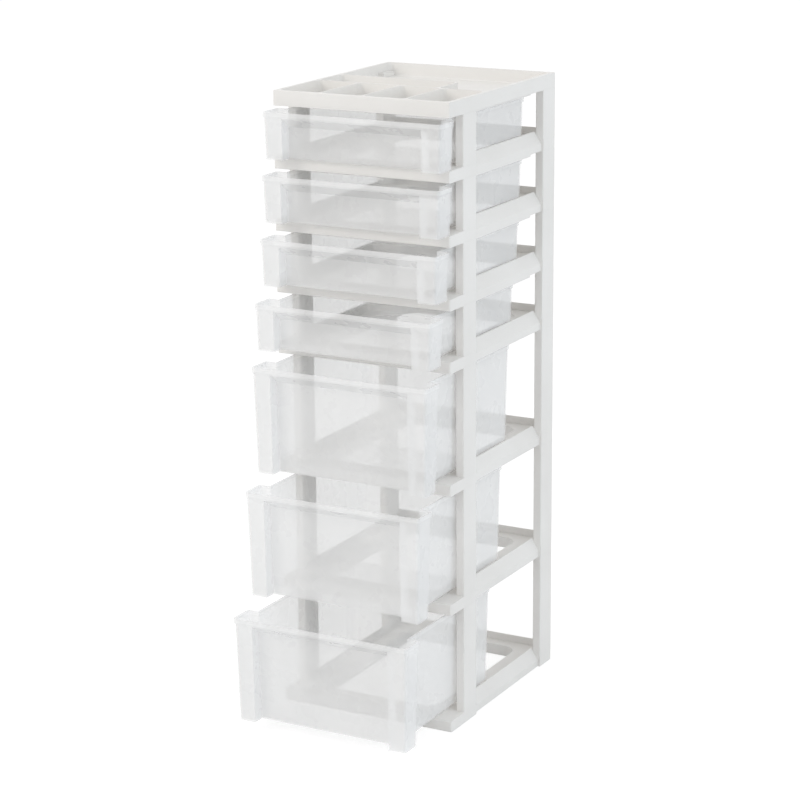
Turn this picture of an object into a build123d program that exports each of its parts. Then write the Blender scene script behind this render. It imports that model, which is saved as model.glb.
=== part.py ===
"""Plastic drawer tower: four shallow and three deep drawers under a tray for small things.

The white frame is a stack of open ring tiers, held apart by short posts that plug into them.
Each see-through drawer slides on the ledges of its tier, and stands open as far as in the photo.
X runs across the tower, the front faces -Y, and Z is up. The origin is on the floor, at the
middle of the box round the tower and its open drawers.
"""

from build123d import *
import math
import os

# ---- Driving dimensions, in millimetres ----

width = 300.0  # across the tiers and the drawer heads
depth = 360.0  # front lip to back of a tier
shallow_pitch = 96.0  # from one tier to the next over a shallow drawer
deep_pitch = 191.0  # the same over a deep drawer
shallow_count = 4  # the first drawers are shallow, the rest are deep
pull_outs = (30.0, 36.0, 45.0, 65.0, 78.0, 104.0, 146.0)  # how far each stands open, top first

# Tiers
lip_height = 18.0  # front lip and ledges, from the tier's underside
rail_height = 30.0  # side rails and back wall
shell = 2.2  # wall of the frame's mouldings
rail_inset = 4.0  # the rail's upright face, behind the posts' outer face
rail_upright = 11.5  # height of that face, below the rail's slope
rail_edge = 2.3  # thickness of the rail's top edge
rail_web = 5.0  # plastic over the rail's hollow, below that edge
ledge_width = 32.0  # shelf that the drawer slides on, inside each rail
front_bar = 40.0  # tier's front cross bar, front to back
back_bar = 24.0
ring_radius = 25.0  # corners of the opening between the bars
rib_spacing = 150.0
deck_chamfer = 1.5  # corners of the tiers and the tray, seen from above
lip_chamfer = 1.0

# Posts and their plug joints
post_thick = 14.0
post_wide = 42.0
post_setback = 44.0  # front posts, behind the front lip
post_chamfer = 1.2
tenon_thick = 10.0
tenon_wide = 38.0
tenon_length = 7.5
bore_thick = 6.0  # hollow core of a post
bore_wide = 34.0
socket_play = 0.2  # clearance on each side of a tenon
socket_depth = 8.0
post_cap = 3.0  # closed end above the hollow core

# Tray on top
tray_height = 23.0
tray_floor = 2.2
tray_rim = 7.0  # width of its outer wall
divider = 3.0
cell_count = 4
cell_depth = 118.0
trough_depth = 66.0
trough_width = 205.0
pocket_corner = 8.0
pocket_chamfer = 2.0  # where a pocket's walls meet its floor
rim_chamfer = 0.8
boss_wall = 2.0  # round the sockets of the top posts

# Ribs that stop a drawer from tipping, and stops that keep it in
tip_rib_drop = 3.0
tip_rib_length = 194.0
stop_drop = 3.0
stop_thick = 4.0
stop_width = 14.0
stop_inset = 20.0  # middle of each stop, in from the drawer's side
travel = 240.0  # pull-out from closed to the stops

# Drawers
head_gap = 5.7  # from a drawer's rim up to the tier above
slide_gap = 0.3  # running clearance over the ledges
wall = 1.8
draft = 1.2  # degrees, on every upright wall
post_play = 2.8  # from the rim to the posts on each side
back_space = 38.0  # behind a closed drawer, to the back of its tier
rim_height = 8.5
rim_proud = 1.2
pillar_width = 32.0  # beside the finger recess, at the rim
recess_depth = 20.0
recess_slope = 15.0  # height of its slanted ceiling
head_corner = 5.0
back_corner = 16.0
body_bevel = 9.0  # along the lower edges of the body
ear_height = 3.2  # the back wall's ears, which meet the stops
ear_width = 18.0
overcut = 10.0  # how far a cut runs past the face it opens

# ---- Places worked out from them ----

count = len(pull_outs)
pitches = [shallow_pitch if i < shallow_count else deep_pitch for i in range(count)]
tier_z = [sum(pitches[i + 1:]) for i in range(count)]
tray_z = sum(pitches)
front_y = (max(pull_outs) + rim_proud - depth) / 2
back_y = front_y + depth
middle_y = (front_y + back_y) / 2
ring_y = middle_y + (front_bar - back_bar) / 2
ring_length = depth - front_bar - back_bar
rails_start = front_y + post_setback + post_wide
rails_end = back_y - post_wide
post_x = (width - post_thick) / 2
front_post_y = rails_start - post_wide / 2
back_post_y = back_y - post_wide / 2
post_spots = [(x, y) for y in (front_post_y, back_post_y) for x in (-post_x, post_x)]
body_half = width / 2 - post_thick - rim_proud - post_play  # a drawer's body, at its rim
head_depth = post_setback - rim_proud - slide_gap  # a closed head just clears the posts
drawer_length = depth - back_space
recess_half = width / 2 - pillar_width
rail_inner = body_half  # the drawer's draft leaves its clearance down here
ledge_inner = rail_inner - ledge_width
stop_x = body_half - stop_inset
stop_y = front_y + drawer_length - travel - wall - stop_thick / 2


def save(solid, label):
    """Labels a finished piece and writes its STEP file."""
    solid.label = label
    export_step(solid, f"parts/{label}.step")


# ---- Frame ----

def sockets(z, direction):
    """Blind holes for the tenons of four posts, from height z up (1) or down (-1)."""
    with BuildPart() as holes:
        with BuildSketch(Plane.XY.offset(z)):
            with Locations(*post_spots):
                Rectangle(tenon_thick + 2 * socket_play, tenon_wide + 2 * socket_play)
        extrude(amount=direction * socket_depth)
    return holes.part


def deck():
    """Outline of a tier or the tray, with its corners cut off."""
    with BuildSketch() as outline:
        with Locations((0, middle_y)):
            Rectangle(width, depth)
        chamfer(outline.vertices(), deck_chamfer)
    return outline.sketch


def rails(z):
    """Both hollow side rails of a tier, between its front and back posts."""
    outer = width / 2 - rail_inset
    top = z + rail_height
    ledge = z + lip_height
    with BuildPart() as bars:
        with BuildSketch(Plane.XZ.offset(-rails_end)):
            with BuildLine():
                Polyline(
                    (ledge_inner, z), (outer, z), (outer, z + rail_upright),
                    (rail_inner + rail_edge, top), (rail_inner, top), (rail_inner, ledge),
                    (ledge_inner, ledge), close=True,
                )
            make_face()
            with BuildLine():
                Polyline(
                    (ledge_inner + shell, z), (outer - shell, z),
                    (outer - shell, z + rail_upright - 1), (rail_inner + rail_edge, top - rail_web),
                    (rail_inner + rail_edge, ledge - shell), (ledge_inner + shell, ledge - shell),
                    close=True,
                )
            make_face(mode=Mode.SUBTRACT)
        extrude(amount=rails_end - rails_start)
        mirror(about=Plane.YZ)
    return bars.part


def bar_hollow(z, low_y, high_y):
    """Space under one cross bar of a tier, less its stiffening ribs and the seats of its posts."""
    bar_y = (low_y + high_y) / 2
    length = high_y - low_y
    with BuildPart() as space:
        with BuildSketch(Plane.XY.offset(z)):
            with Locations((0, bar_y)):
                Rectangle(width - 2 * shell, length - 2 * shell)
            with Locations((0, ring_y)):
                RectangleRounded(
                    2 * (ledge_inner + shell), ring_length + 2 * shell, ring_radius + shell,
                    mode=Mode.SUBTRACT,
                )
            with Locations((0, bar_y)):
                with GridLocations(rib_spacing, 0, int(width / rib_spacing), 1):
                    Rectangle(shell, length, mode=Mode.SUBTRACT)
            with Locations(*post_spots):
                Rectangle(post_thick, post_wide, mode=Mode.SUBTRACT)
        extrude(amount=lip_height - shell)
    return space.part


def hanging_ribs(z, hollow_height, over_shallow):
    """Drawer stops below height z, from the top of the hollow there, and a shallow bay's tip ribs."""
    rib_x = width / 2 - rail_inset - shell / 2
    rib_y = rails_start + tip_rib_length / 2
    with BuildPart() as ribs:
        with BuildSketch(Plane.XY.offset(z - stop_drop)):
            with Locations((-stop_x, stop_y), (stop_x, stop_y)):
                Rectangle(stop_width, stop_thick)
        extrude(amount=stop_drop + hollow_height)
        if over_shallow:
            with BuildSketch(Plane.XY.offset(z)):
                with Locations((-rib_x, rib_y), (rib_x, rib_y)):
                    Rectangle(shell, tip_rib_length)
            extrude(amount=-tip_rib_drop)
    return ribs.part


def tier(index):
    """Open ring that carries one drawer: two cross bars, two side rails and a low back wall."""
    z = tier_z[index]
    with BuildPart() as ring:
        with BuildSketch(Plane.XY.offset(z)):
            add(deck())
            with Locations((0, (rails_start + rails_end) / 2)):
                Rectangle(width + overcut, rails_end - rails_start, mode=Mode.SUBTRACT)
            with Locations((0, ring_y)):
                RectangleRounded(2 * ledge_inner, ring_length, ring_radius, mode=Mode.SUBTRACT)
        extrude(amount=lip_height)
        lip = ring.faces().sort_by(Axis.Y)[0]
        chamfer(lip.edges().filter_by(Axis.X), lip_chamfer)
        add(bar_hollow(z, front_y, rails_start), mode=Mode.SUBTRACT)
        add(bar_hollow(z, rails_end, back_y), mode=Mode.SUBTRACT)
        add(rails(z))
        with BuildSketch(Plane.XY.offset(z + lip_height - shell)):
            with Locations((0, back_y - shell / 2)):
                Rectangle(2 * (post_x - post_thick / 2), shell)
        extrude(amount=rail_height - lip_height + shell)
        add(sockets(z + lip_height, -1), mode=Mode.SUBTRACT)
        if index < count - 1:
            add(sockets(z, 1), mode=Mode.SUBTRACT)
            add(hanging_ribs(z, lip_height - shell, index + 1 < shallow_count))
    return ring.part


def post(z, height, x, y):
    """Short hollow post with a tenon at each end, standing on height z."""
    with BuildPart() as leg:
        with BuildSketch(Plane.XY.offset(z)) as plan:
            with Locations((x, y)):
                Rectangle(post_thick, post_wide)
            chamfer(plan.vertices(), post_chamfer)
        extrude(amount=height)
        with BuildSketch(Plane.XY.offset(z - tenon_length)):
            with Locations((x, y)):
                Rectangle(tenon_thick, tenon_wide)
        extrude(amount=height + 2 * tenon_length)
        with BuildSketch(Plane.XY.offset(z - tenon_length)):
            with Locations((x, y)):
                Rectangle(bore_thick, bore_wide)
        extrude(amount=height + 2 * tenon_length - post_cap, mode=Mode.SUBTRACT)
    return leg.part


def tray_pockets():
    """Plan of the tray's hollows: a row of cells, a pen trough and a wide recess at the back."""
    inner_half = width / 2 - tray_rim
    cell_width = (2 * inner_half - (cell_count - 1) * divider) / cell_count
    cells_y = front_y + tray_rim + cell_depth / 2
    trough_front = front_y + tray_rim + cell_depth + divider
    trough_end = trough_width - inner_half
    recess_front = trough_front + trough_depth + divider
    recess_back = back_y - tray_rim
    with BuildSketch() as recess:
        with BuildLine():
            Polyline(
                (-inner_half, recess_back), (-inner_half, recess_front),
                (trough_end + divider, recess_front), (trough_end + divider, trough_front),
                (inner_half, trough_front), (inner_half, recess_back), close=True,
            )
        make_face()
        fillet(recess.vertices(), pocket_corner)
    with BuildSketch(Plane.XY.offset(tray_z + tray_floor)) as plan:
        with Locations((0, cells_y)):
            with GridLocations(cell_width + divider, 0, cell_count, 1):
                RectangleRounded(cell_width, cell_depth, pocket_corner)
        with Locations((trough_end - trough_width / 2, trough_front + trough_depth / 2)):
            RectangleRounded(trough_width, trough_depth, pocket_corner)
        add(recess.sketch)
    return plan.sketch


def tray():
    """Organizer top: a shallow moulding that closes the frame and takes the top posts."""
    with BuildPart() as top:
        with BuildSketch(Plane.XY.offset(tray_z)):
            add(deck())
        extrude(amount=tray_height)
        extrude(tray_pockets(), amount=tray_height, mode=Mode.SUBTRACT)
        levels = top.faces().filter_by(Axis.Z).group_by(Axis.Z)
        chamfer(levels[1].edges(), pocket_chamfer)
        chamfer(top.faces().sort_by(Axis.Z)[-1].outer_wire().edges(), rim_chamfer)
        with BuildSketch(Plane.XY.offset(tray_z)):
            with Locations(*post_spots):
                Rectangle(post_thick + 2 * boss_wall, post_wide + 2 * boss_wall)
            with Locations((0, middle_y)):
                Rectangle(width - tray_rim, depth - tray_rim, mode=Mode.INTERSECT)
        extrude(amount=socket_depth + boss_wall)
        add(sockets(tray_z, 1), mode=Mode.SUBTRACT)
        add(hanging_ribs(tray_z, 0, True))
    return top.part


# ---- Drawers ----

def head_plan(z, inset, corner):
    """Outline of a drawer's head at height z, drawn in from its rim by inset."""
    with BuildSketch(Plane.XY.offset(z)) as plan:
        with Locations((0, head_depth / 2)):
            Rectangle(width - 2 * inset, head_depth - 2 * inset)
        fillet(plan.vertices(), corner)
    return plan.sketch


def body_plan(z, inset, corner):
    """Outline of a drawer's body, from inside its head to its rounded back."""
    start = head_depth / 2
    back = drawer_length - inset
    with BuildSketch(Plane.XY.offset(z)) as plan:
        with Locations((0, (start + back) / 2)):
            Rectangle(2 * (body_half - inset), back - start)
        fillet(plan.vertices().group_by(Axis.Y)[-1], corner)
    return plan.sketch


def drawer_block(floor, height, inset, bevel):
    """Drafted T-shaped block: a drawer's outside, or with an inset the space inside it."""
    slant = math.tan(math.radians(draft))
    lean = (height - floor) * slant
    bevel_lean = lean - bevel * slant
    head_round = head_corner - inset
    back_round = back_corner - inset
    with BuildPart() as block:
        loft([
            head_plan(floor, inset + lean, head_round), head_plan(height, inset, head_round),
        ], ruled=True)
        loft([
            body_plan(floor, inset + lean + bevel, back_round),
            body_plan(floor + bevel, inset + bevel_lean, back_round),
            body_plan(height, inset, back_round),
        ], ruled=True)
    return block.part


def finger_recess(height, grow):
    """Hollow under the rim of the drawer's front, open below, or that hollow grown by a wall."""
    lean = height * math.tan(math.radians(draft))
    back = recess_depth + grow
    ceiling = height - rim_height + grow
    with BuildPart() as hollow:
        with BuildSketch(Plane.YZ.offset(-recess_half - grow)):
            with BuildLine():
                Polyline(
                    (-overcut, -overcut), (back + lean, -overcut), (back + lean, 0),
                    (back, ceiling - recess_slope), (0, ceiling), (-overcut, ceiling), close=True,
                )
            make_face()
        extrude(amount=2 * (recess_half + grow))
    return hollow.part


def drawer_shape(height):
    """One drawer in its own place: front of the rim at y = 0, underside at z = 0."""
    inner_bevel = body_bevel - wall * math.tan(math.radians(22.5))
    rim_z = height - rim_height
    with BuildPart() as cavity:
        add(drawer_block(wall, height, wall, inner_bevel))
        add(finger_recess(height, wall), mode=Mode.SUBTRACT)
    with BuildPart() as box:
        add(drawer_block(0, height, 0, body_bevel))
        add(finger_recess(height, 0), mode=Mode.SUBTRACT)
        extrude(head_plan(rim_z, -rim_proud, head_corner), amount=rim_height)
        extrude(body_plan(rim_z, -rim_proud, back_corner), amount=rim_height)
        add(cavity.part, mode=Mode.SUBTRACT)
        with BuildSketch(Plane.XY.offset(height)):
            with Locations((-stop_x, drawer_length - wall / 2), (stop_x, drawer_length - wall / 2)):
                Rectangle(ear_width, wall)
        extrude(amount=ear_height)
    return box.part


# ---- Make and save every piece ----

os.makedirs("parts", exist_ok=True)

save(tray(), "organizer_tray")

for i in range(count):
    number = i + 1
    size = "shallow" if i < shallow_count else "deep"
    is_base = i == count - 1
    save(tier(i), "base_tier" if is_base else f"tier_{number}")

    post_height = pitches[i] - lip_height
    corners = ("front_left", "front_right", "back_left", "back_right")
    for corner, (x, y) in zip(corners, post_spots):
        save(post(tier_z[i] + lip_height, post_height, x, y), f"post_{number}_{corner}")

    drawer_z = tier_z[i] + lip_height + slide_gap
    drawer_height = pitches[i] - lip_height - slide_gap - head_gap
    place = Pos(0, front_y - pull_outs[i], drawer_z)
    save(place * drawer_shape(drawer_height), f"{size}_drawer_{number}")
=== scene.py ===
"""Looks of the plastic drawer tower: matte white frame, frosted see-through drawers, soft studio."""

import math

import bpy
from mathutils import Matrix, Vector


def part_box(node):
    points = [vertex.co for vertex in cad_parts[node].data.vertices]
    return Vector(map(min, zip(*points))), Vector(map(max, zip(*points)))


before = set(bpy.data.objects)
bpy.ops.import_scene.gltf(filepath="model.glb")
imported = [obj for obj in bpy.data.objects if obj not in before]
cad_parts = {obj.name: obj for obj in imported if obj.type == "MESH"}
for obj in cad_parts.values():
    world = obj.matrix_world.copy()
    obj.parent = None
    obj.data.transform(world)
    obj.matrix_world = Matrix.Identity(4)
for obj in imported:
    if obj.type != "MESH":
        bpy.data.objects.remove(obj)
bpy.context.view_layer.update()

# ---- Camera: its place and turn match the photograph ----

CAMERA_PLACE = (1.8342, -3.3458, 1.5193)
CAMERA_YAW, CAMERA_PITCH, CAMERA_ROLL = 28.655, 15.098, 0.466  # degrees
SENSOR = 36.0
FOCAL_PIXELS, IMAGE_PIXELS = 2529.9, 800.0
VIEW_DEPTH = 100

# ---- Materials: colours are linear, lengths are in metres ----

FRAME_PALE = (0.850, 0.838, 0.818, 1)
FRAME_DEEP = (0.815, 0.802, 0.780, 1)
DRAWER_PALE = (0.950, 0.952, 0.955, 1)
DRAWER_DEEP = (0.915, 0.918, 0.922, 1)
DRIFT_SPAN = (0.35, 0.65)  # part of a noise's range that a colour is blended over
GLOSS_SPAN = (0.3, 0.7)  # the same for roughness
FRAME_DRIFT, DRAWER_DRIFT = 7, 9  # cycles per metre of the change in colour
DRAWER_STRETCH = (1, 1, 0.4)  # it runs longer up and down a drawer
FRAME_MARKS, DRAWER_MARKS = 35, 28  # cycles per metre of the change in roughness
FRAME_ROUGHNESS, DRAWER_ROUGHNESS = (0.38, 0.52), (0.24, 0.34)
FRAME_GRAIN = (1400, 0.00006, 0.35)  # cycles per metre, height, strength
DRAWER_GRAIN = (1100, 0.00003, 0.2)
WALL_VEIL, RIM_VEIL = 0.36, 0.42  # how milky each face of a drawer is
RIM_HEIGHT, RIM_BLEND = 0.0085, 0.0015  # from the top of a drawer's ears
EDGE_RADIUS = 0.0006  # of the frame's mouldings
PLASTIC_IOR = 1.49
SEEN_LAYERS = 48  # see-through faces that a ray may cross
WHITE_BOUNCES = 12  # light reaches deep between white walls

# ---- Studio ----

FLOOR_SIZE = 60.0
FLOOR_COLOUR = (0.80, 0.80, 0.80, 1)
FLOOR_SHADOW_SHARE = 0.40  # how much of the seen floor is lit, and so can be shaded
FLOOR_GLOW = 0.77
WORLD_LIGHT = 0.80
AIM = Vector((0, 0.05, 0.45))
LAMPS = (  # name, place, size, power in watts, colour
    ("key", (-2.4, -3.2, 3.0), 2.4, 50, (1.0, 0.96, 0.91)),
    ("side", (3.6, -0.6, 1.6), 2.2, 24, (0.72, 0.87, 1.0)),
    ("top", (0.2, 0.6, 3.6), 2.0, 3, (1.0, 1.0, 1.0)),
)


class Shader:
    """A material's node tree, built with short calls."""

    def __init__(self, name):
        self.material = bpy.data.materials.new(name)
        self.material.use_nodes = True
        self.tree = self.material.node_tree
        self.bsdf = self.tree.nodes["Principled BSDF"]
        self.place = self.tree.nodes.new("ShaderNodeTexCoord").outputs["Object"]

    def link(self, output, target):
        self.tree.links.new(output, target)

    def noise(self, scale, detail=2.0, stretch=(1, 1, 1)):
        """Noise of so many cycles per metre, along each axis times stretch."""
        mapping = self.tree.nodes.new("ShaderNodeMapping")
        mapping.inputs["Scale"].default_value = stretch
        self.link(self.place, mapping.inputs["Vector"])
        node = self.tree.nodes.new("ShaderNodeTexNoise")
        node.inputs["Scale"].default_value = scale
        node.inputs["Detail"].default_value = detail
        self.link(mapping.outputs["Vector"], node.inputs["Vector"])
        return node.outputs["Fac"]

    def blend_colours(self, factor, low, high):
        """Colour from low to high, over the middle of a noise's range."""
        ramp = self.tree.nodes.new("ShaderNodeValToRGB")
        for stop, position, colour in zip(ramp.color_ramp.elements, DRIFT_SPAN, (low, high)):
            stop.position = position
            stop.color = colour
        self.link(factor, ramp.inputs["Fac"])
        self.link(ramp.outputs["Color"], self.bsdf.inputs["Base Color"])

    def vary(self, factor, low, high, socket):
        """Sends a noise's middle range to a shader value from low to high."""
        span = self.tree.nodes.new("ShaderNodeMapRange")
        span.inputs["From Min"].default_value = GLOSS_SPAN[0]
        span.inputs["From Max"].default_value = GLOSS_SPAN[1]
        span.inputs["To Min"].default_value = low
        span.inputs["To Max"].default_value = high
        self.link(factor, span.inputs["Value"])
        self.link(span.outputs["Result"], self.bsdf.inputs[socket])

    def bump(self, scale, distance, strength, edge_radius=0.0):
        """Grain of that scale and height, on edges that are softened if they get a radius."""
        height = self.noise(scale, detail=1)
        node = self.tree.nodes.new("ShaderNodeBump")
        node.inputs["Distance"].default_value = distance
        node.inputs["Strength"].default_value = strength
        self.link(height, node.inputs["Height"])
        self.link(node.outputs["Normal"], self.bsdf.inputs["Normal"])
        if edge_radius:
            edges = self.tree.nodes.new("ShaderNodeBevel")
            edges.inputs["Radius"].default_value = edge_radius
            self.link(edges.outputs["Normal"], node.inputs["Normal"])

    def veil_by_height(self, rim_top):
        """Milkier plastic in the thick rim under that height than in the walls."""
        split = self.tree.nodes.new("ShaderNodeSeparateXYZ")
        self.link(self.place, split.inputs["Vector"])
        span = self.tree.nodes.new("ShaderNodeMapRange")
        span.inputs["From Min"].default_value = rim_top - RIM_HEIGHT - RIM_BLEND
        span.inputs["From Max"].default_value = rim_top - RIM_HEIGHT
        span.inputs["To Min"].default_value = WALL_VEIL
        span.inputs["To Max"].default_value = RIM_VEIL
        self.link(split.outputs["Z"], span.inputs["Value"])
        self.link(span.outputs["Result"], self.bsdf.inputs["Alpha"])


def frame_plastic():
    """Opaque white moulding with a fine satin grain."""
    shader = Shader("frame_plastic_satin")
    shader.blend_colours(shader.noise(FRAME_DRIFT), FRAME_DEEP, FRAME_PALE)
    shader.vary(shader.noise(FRAME_MARKS, detail=3), *FRAME_ROUGHNESS, "Roughness")
    shader.bump(*FRAME_GRAIN, EDGE_RADIUS)
    shader.bsdf.inputs["IOR"].default_value = PLASTIC_IOR
    return shader.material


def drawer_plastic(drawer):
    """Frosted clear plastic: a thin milky veil on each face of a wall, thicker in the rim."""
    shader = Shader(f"{drawer}_frosted")
    drift = shader.noise(DRAWER_DRIFT, stretch=DRAWER_STRETCH)
    shader.blend_colours(drift, DRAWER_DEEP, DRAWER_PALE)
    shader.vary(shader.noise(DRAWER_MARKS, detail=3), *DRAWER_ROUGHNESS, "Roughness")
    shader.bump(*DRAWER_GRAIN)
    shader.veil_by_height(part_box(drawer)[1][2])
    shader.bsdf.inputs["IOR"].default_value = PLASTIC_IOR
    return shader.material


def dress(nodes):
    """Gives each CAD piece the material of its kind."""
    white = frame_plastic()
    for name, piece in nodes.items():
        finish = drawer_plastic(name) if "drawer" in name else white
        for place in piece.material_slots:
            place.material = finish
        if not piece.material_slots:
            piece.data.materials.append(finish)


def add_camera():
    yaw, pitch, roll = (math.radians(a) for a in (CAMERA_YAW, CAMERA_PITCH, CAMERA_ROLL))
    ahead = Vector((
        -math.sin(yaw) * math.cos(pitch), math.cos(yaw) * math.cos(pitch), -math.sin(pitch),
    ))
    level = Vector((math.cos(yaw), math.sin(yaw), 0))
    down = ahead.cross(level)
    right = level * math.cos(roll) + down * math.sin(roll)
    below = down * math.cos(roll) - level * math.sin(roll)
    turn = Matrix((right, -below, -ahead)).transposed()
    data = bpy.data.cameras.new("camera")
    data.sensor_width = SENSOR
    data.lens = FOCAL_PIXELS * SENSOR / IMAGE_PIXELS
    data.clip_end = VIEW_DEPTH
    camera = bpy.data.objects.new("camera", data)
    camera.matrix_world = Matrix.Translation(CAMERA_PLACE) @ turn.to_4x4()
    bpy.context.scene.collection.objects.link(camera)
    bpy.context.scene.camera = camera


def seen_directly(tree):
    """1 for rays from the camera, from gloss or through clear plastic, and 0 for the others."""
    light_path = tree.nodes.new("ShaderNodeLightPath")
    total = light_path.outputs["Is Camera Ray"]
    for name in ("Is Glossy Ray", "Is Transmission Ray"):
        larger = tree.nodes.new("ShaderNodeMath")
        larger.operation = "MAXIMUM"
        tree.links.new(total, larger.inputs[0])
        tree.links.new(light_path.outputs[name], larger.inputs[1])
        total = larger.outputs["Value"]
    return total


def add_world():
    """Even white light, with a white background."""
    world = bpy.data.worlds.new("studio")
    world.use_nodes = True
    tree = world.node_tree
    strength = tree.nodes.new("ShaderNodeMapRange")
    strength.inputs["To Min"].default_value = WORLD_LIGHT
    strength.inputs["To Max"].default_value = 1.0
    tree.links.new(seen_directly(tree), strength.inputs["Value"])
    background = tree.nodes["Background"]
    background.inputs["Color"].default_value = (1, 1, 1, 1)
    tree.links.new(strength.outputs["Result"], background.inputs["Strength"])
    bpy.context.scene.world = world


def add_floor():
    """Pale floor that blends into the background and keeps the tower's shadow."""
    half = FLOOR_SIZE / 2
    mesh = bpy.data.meshes.new("floor")
    mesh.from_pydata(
        [(-half, -half, 0), (half, -half, 0), (half, half, 0), (-half, half, 0)], [], [(0, 1, 2, 3)],
    )
    floor = bpy.data.objects.new("floor", mesh)
    bpy.context.scene.collection.objects.link(floor)
    material = bpy.data.materials.new("floor_paper")
    material.use_nodes = True
    tree = material.node_tree
    plain, glow, lit = (tree.nodes.new(kind) for kind in (
        "ShaderNodeBsdfDiffuse", "ShaderNodeEmission", "ShaderNodeBsdfDiffuse",
    ))
    shaded = [c * FLOOR_SHADOW_SHARE for c in FLOOR_COLOUR[:3]] + [1]
    lit.inputs["Color"].default_value = shaded
    plain.inputs["Color"].default_value = FLOOR_COLOUR
    glow.inputs["Strength"].default_value = FLOOR_GLOW
    both = tree.nodes.new("ShaderNodeAddShader")
    tree.links.new(lit.outputs["BSDF"], both.inputs[0])
    tree.links.new(glow.outputs["Emission"], both.inputs[1])
    pick = tree.nodes.new("ShaderNodeMixShader")
    tree.links.new(seen_directly(tree), pick.inputs["Fac"])
    tree.links.new(plain.outputs["BSDF"], pick.inputs[1])
    tree.links.new(both.outputs["Shader"], pick.inputs[2])
    tree.links.new(pick.outputs["Shader"], tree.nodes["Material Output"].inputs["Surface"])
    mesh.materials.append(material)


def add_lamps():
    for name, place, size, power, colour in LAMPS:
        data = bpy.data.lights.new(name, "AREA")
        data.shape = "DISK"
        data.size = size
        data.energy = power
        data.color = colour
        lamp = bpy.data.objects.new(name, data)
        lamp.location = place
        lamp.rotation_euler = (AIM - Vector(place)).to_track_quat("-Z", "Y").to_euler()
        bpy.context.scene.collection.objects.link(lamp)


dress(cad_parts)
add_camera()
add_world()
add_floor()
add_lamps()
bpy.context.scene.view_settings.view_transform = "Standard"
bpy.context.scene.cycles.transparent_max_bounces = SEEN_LAYERS
bpy.context.scene.cycles.max_bounces = WHITE_BOUNCES
bpy.context.scene.cycles.diffuse_bounces = WHITE_BOUNCES
